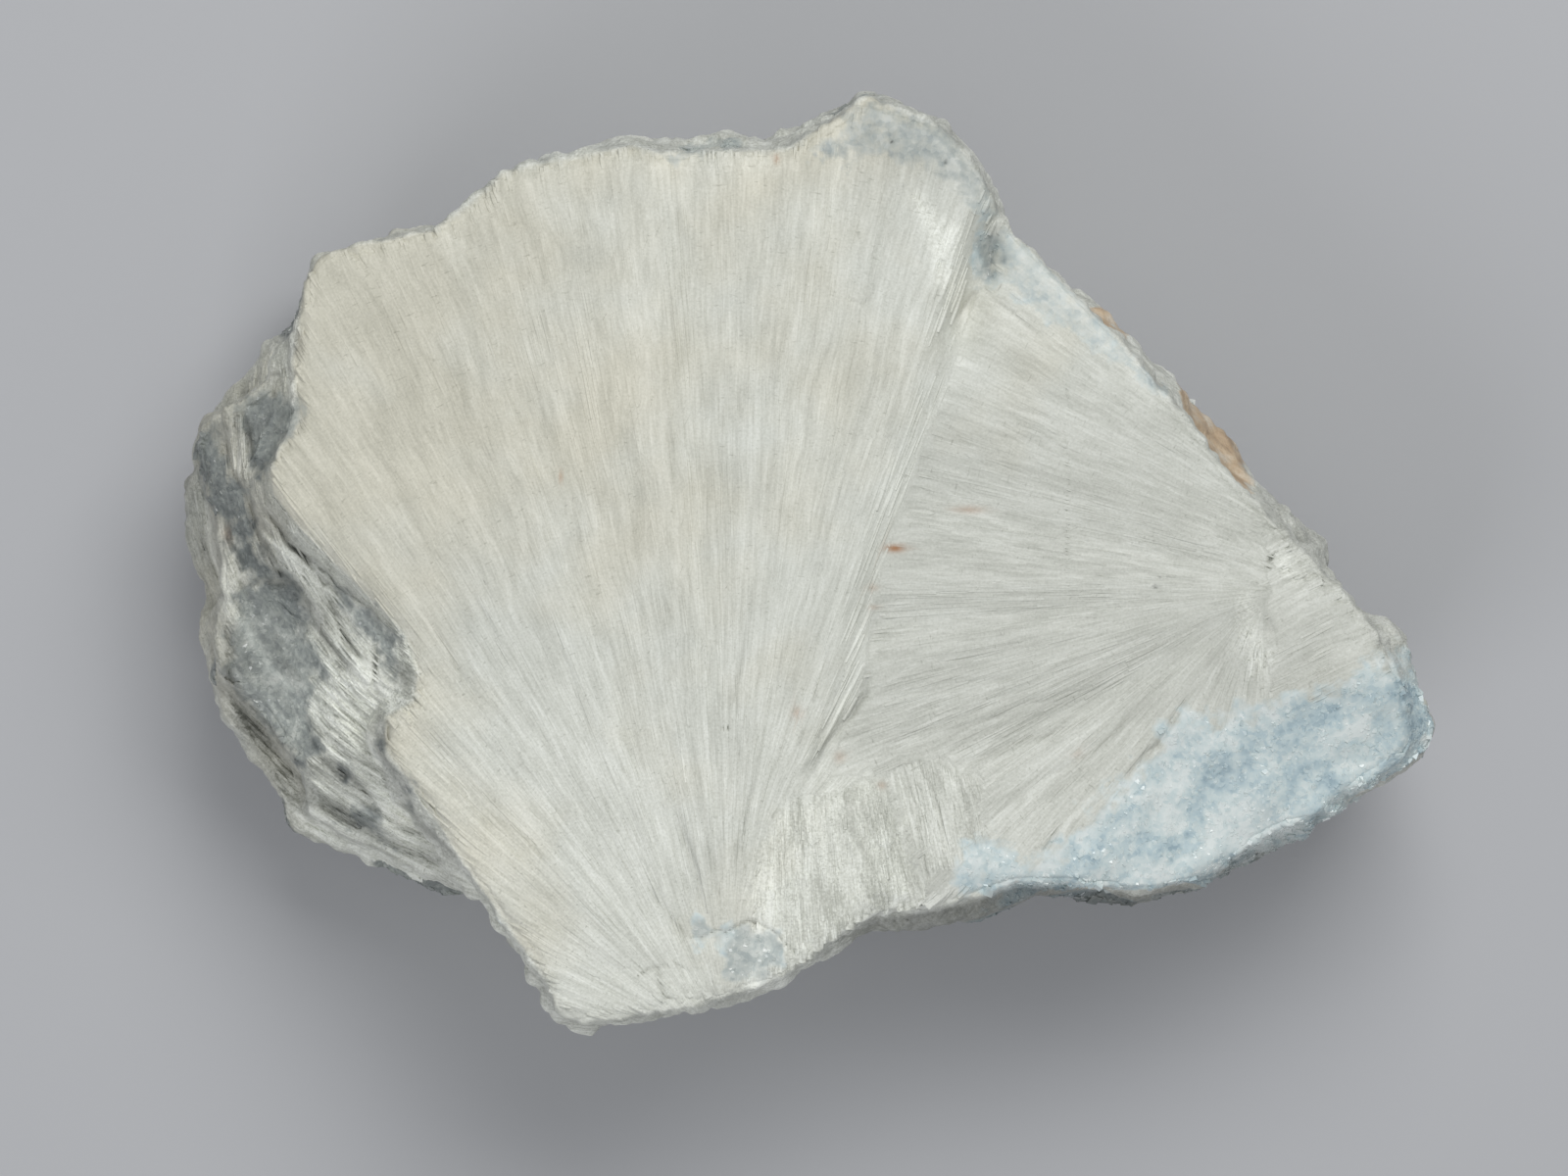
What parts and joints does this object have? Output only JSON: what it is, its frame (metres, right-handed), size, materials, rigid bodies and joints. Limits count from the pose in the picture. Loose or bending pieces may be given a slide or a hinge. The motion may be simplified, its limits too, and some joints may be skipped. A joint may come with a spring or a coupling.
{
  "type": "wollastonite specimen",
  "caption": "Broken block of white fan-shaped fibrous wollastonite grown in pale blue calcite, lying on its flat back with the fibrous face up.",
  "frame": {"origin": "under the middle of the block, on the surface it rests on", "axes": "+X along the long side towards the blue calcite corner, +Y across the face towards the peak, +Z out of the fibrous face"},
  "size_m": [0.1638, 0.123, 0.0517],
  "materials": {
    "wollastonite_block": "silky broken fibres, dull to pearly"
  },
  "bodies": {
    "root": {"wollastonite_block": "wollastonite_block"}
  },
  "joints": []
}
